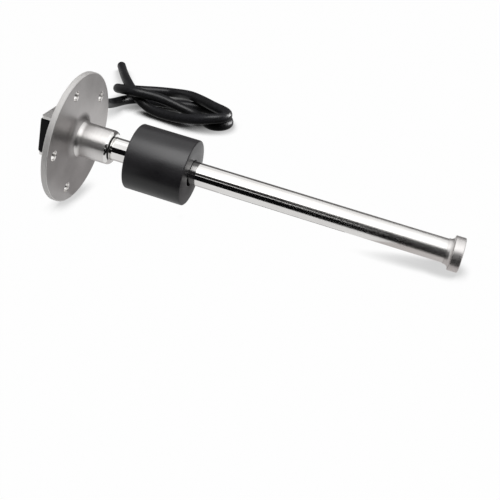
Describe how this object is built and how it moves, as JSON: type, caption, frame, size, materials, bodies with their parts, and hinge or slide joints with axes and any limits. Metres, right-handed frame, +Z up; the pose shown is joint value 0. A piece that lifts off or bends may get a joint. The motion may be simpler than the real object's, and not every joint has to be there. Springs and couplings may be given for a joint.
{
  "type": "fuel level gauge",
  "caption": "Flange-mounted stem sender: a magnetic float slides on a steel tube over hidden reed switches, with a head on the flange's back and a bare-ended cable.",
  "frame": {"origin": "on the surface the gauge lies on, under the middle of its box without the cable", "axes": "+X along the stem from the flange to the end cap, +Y to the cable's side, +Z up"},
  "size_m": [0.2737, 0.2497, 0.0687],
  "materials": {
    "satin_steel": "satin",
    "polished_steel": "polished",
    "sheet_steel": "satin",
    "float_foam": "matte",
    "ferrite": "matte",
    "black_plastic": "matte",
    "black_rubber": "matte",
    "cable_jacket": "gloss",
    "potting_resin": "gloss",
    "insulating_sleeve": "matte",
    "circuit_board": "satin",
    "reed_glass": "gloss",
    "chip_ceramic": "matte",
    "red_wire": "gloss",
    "black_wire": "gloss"
  },
  "bodies": {
    "sender": {"mounting_flange": "satin_steel", "stem_tube": "polished_steel", "end_cap": "satin_steel", "head_bracket": "sheet_steel", "head_housing": "black_plastic", "cable_grommet": "black_rubber", "cable": "cable_jacket", "potting_plug": "potting_resin", "board_sleeve": "insulating_sleeve", "sensor_board": "circuit_board", "lead_wire_signal": "red_wire", "lead_wire_ground": "black_wire", "reed_switch_1": "reed_glass", "reed_switch_2": "reed_glass", "reed_switch_3": "reed_glass", "reed_switch_4": "reed_glass", "reed_switch_5": "reed_glass", "reed_switch_6": "reed_glass", "reed_switch_7": "reed_glass", "resistor_1": "chip_ceramic", "resistor_2": "chip_ceramic", "resistor_3": "chip_ceramic", "resistor_4": "chip_ceramic", "resistor_5": "chip_ceramic", "resistor_6": "chip_ceramic", "resistor_7": "chip_ceramic"},
    "float": {"float_body": "float_foam", "float_magnet": "ferrite"}
  },
  "joints": [
    {"name": "float_slide", "type": "slide", "parent": "sender", "child": "float", "axis": [0.9917, 0, -0.1284], "range_m": [-0.0113, 0.1294]}
  ]
}
